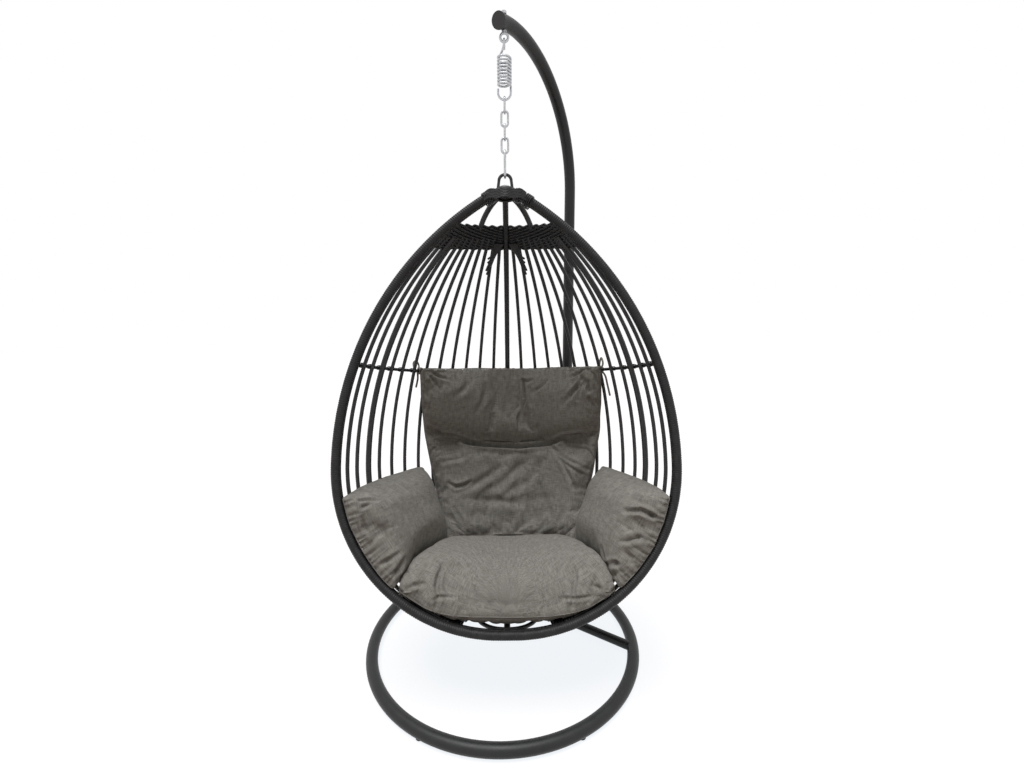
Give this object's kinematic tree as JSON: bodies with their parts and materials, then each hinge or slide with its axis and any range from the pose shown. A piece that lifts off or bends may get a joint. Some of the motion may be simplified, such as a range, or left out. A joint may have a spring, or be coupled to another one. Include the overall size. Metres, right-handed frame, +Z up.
{
  "type": "hanging egg chair",
  "caption": "Egg-shaped rib basket chair with cushions, hung by a coil spring and a chain from a swan-neck arm on a ring base.",
  "frame": {"origin": "on the floor under the middle of the chair", "axes": "+Z up, -Y the way a sitter looks, +X to the left of a sitter (the right of a viewer in front)"},
  "size_m": [0.98, 0.918, 1.9568],
  "materials": {
    "stand_paint": "satin charcoal powder coat",
    "black_plastic": "matt",
    "zinc": "bright zinc plating",
    "black_paint": "gloss black",
    "grey_plastic": "matt",
    "wicker": "round plastic wicker wound on rods",
    "cushion_cloth": "coarse linen weave"
  },
  "bodies": {
    "stand": {"base_ring": "stand_paint", "base_crossbar": "stand_paint", "base_strut": "stand_paint", "ring_glides": "black_plastic", "post_stub": "stand_paint", "lower_post": "stand_paint", "swan_arm": "stand_paint", "frame_bolts": "zinc", "arm_end_cap": "black_plastic", "eye_bolt": "zinc", "eye_nut": "zinc"},
    "spring": {"spring": "zinc"},
    "link_1": {"link_1": "zinc"},
    "link_2": {"link_2": "zinc"},
    "link_3": {"link_3": "zinc"},
    "link_4": {"link_4": "zinc"},
    "snap_hook": {"snap_hook": "zinc"},
    "snap_gate": {"snap_gate": "zinc", "gate_pin": "zinc"},
    "basket": {"pod_eye": "black_paint", "crown_cap": "grey_plastic", "crown_hub": "wicker", "rim_front_hoop": "wicker", "rim_rear_hoop": "wicker", "centre_rib": "wicker", "side_rib_left": "wicker", "side_rib_right": "wicker", "rib_left_1": "wicker", "rib_left_2": "wicker", "rib_left_3": "wicker", "rib_left_4": "wicker", "rib_left_5": "wicker", "rib_left_6": "wicker", "rib_left_7": "wicker", "rib_left_8": "wicker", "rib_left_9": "wicker", "rib_left_10": "wicker", "rib_left_11": "wicker", "rib_right_1": "wicker", "rib_right_2": "wicker", "rib_right_3": "wicker", "rib_right_4": "wicker", "rib_right_5": "wicker", "rib_right_6": "wicker", "rib_right_7": "wicker", "rib_right_8": "wicker", "rib_right_9": "wicker", "rib_right_10": "wicker", "rib_right_11": "wicker", "crown_stays": "wicker", "foot_stays": "wicker", "crown_band": "wicker", "foot_band": "wicker", "upper_belt": "wicker", "lower_belt": "wicker", "seat_cushion": "cushion_cloth", "back_cushion": "cushion_cloth", "bolster_left": "cushion_cloth", "bolster_right": "cushion_cloth"}
  },
  "joints": [
    {"name": "spring_swing", "type": "hinge", "parent": "stand", "child": "spring", "pos_m": [0, -0.02958, 1.87842], "axis": [1, 0, 0], "range_deg": [-6, 0.7]},
    {"name": "spring_stretch", "type": "slide", "parent": "spring", "child": "link_1", "axis": [0, 0, -1], "range_m": [-0.016, 0.025], "stiffness_N_per_m": 9000, "springref_m": -0.03144, "deforming": ["spring"]},
    {"name": "link_2_swing", "type": "hinge", "parent": "link_1", "child": "link_2", "pos_m": [0, -0.02958, 1.69412], "axis": [0, 1, 0], "range_deg": [-1, 3]},
    {"name": "link_3_swing", "type": "hinge", "parent": "link_2", "child": "link_3", "pos_m": [0, -0.02958, 1.65852], "axis": [1, 0, 0], "range_deg": [-6, 0.7]},
    {"name": "link_4_swing", "type": "hinge", "parent": "link_3", "child": "link_4", "pos_m": [0, -0.02958, 1.62292], "axis": [0, 1, 0], "range_deg": [-1, 3]},
    {"name": "snap_hook_swing", "type": "hinge", "parent": "link_4", "child": "snap_hook", "pos_m": [0, -0.02958, 1.58732], "axis": [1, 0, 0], "range_deg": [-6, 0.7]},
    {"name": "gate_open", "type": "hinge", "parent": "snap_hook", "child": "snap_gate", "pos_m": [0, -0.01708, 1.54172], "axis": [1, 0, 0], "range_deg": [0, 22], "stiffness_Nm_per_rad": 0.1, "springref_deg": -17.19},
    {"name": "basket_turn", "type": "hinge", "parent": "snap_hook", "child": "basket", "pos_m": [0, -0.02958, 1.52962], "axis": [0, 0, 1], "range_deg": [-30, 30]}
  ]
}
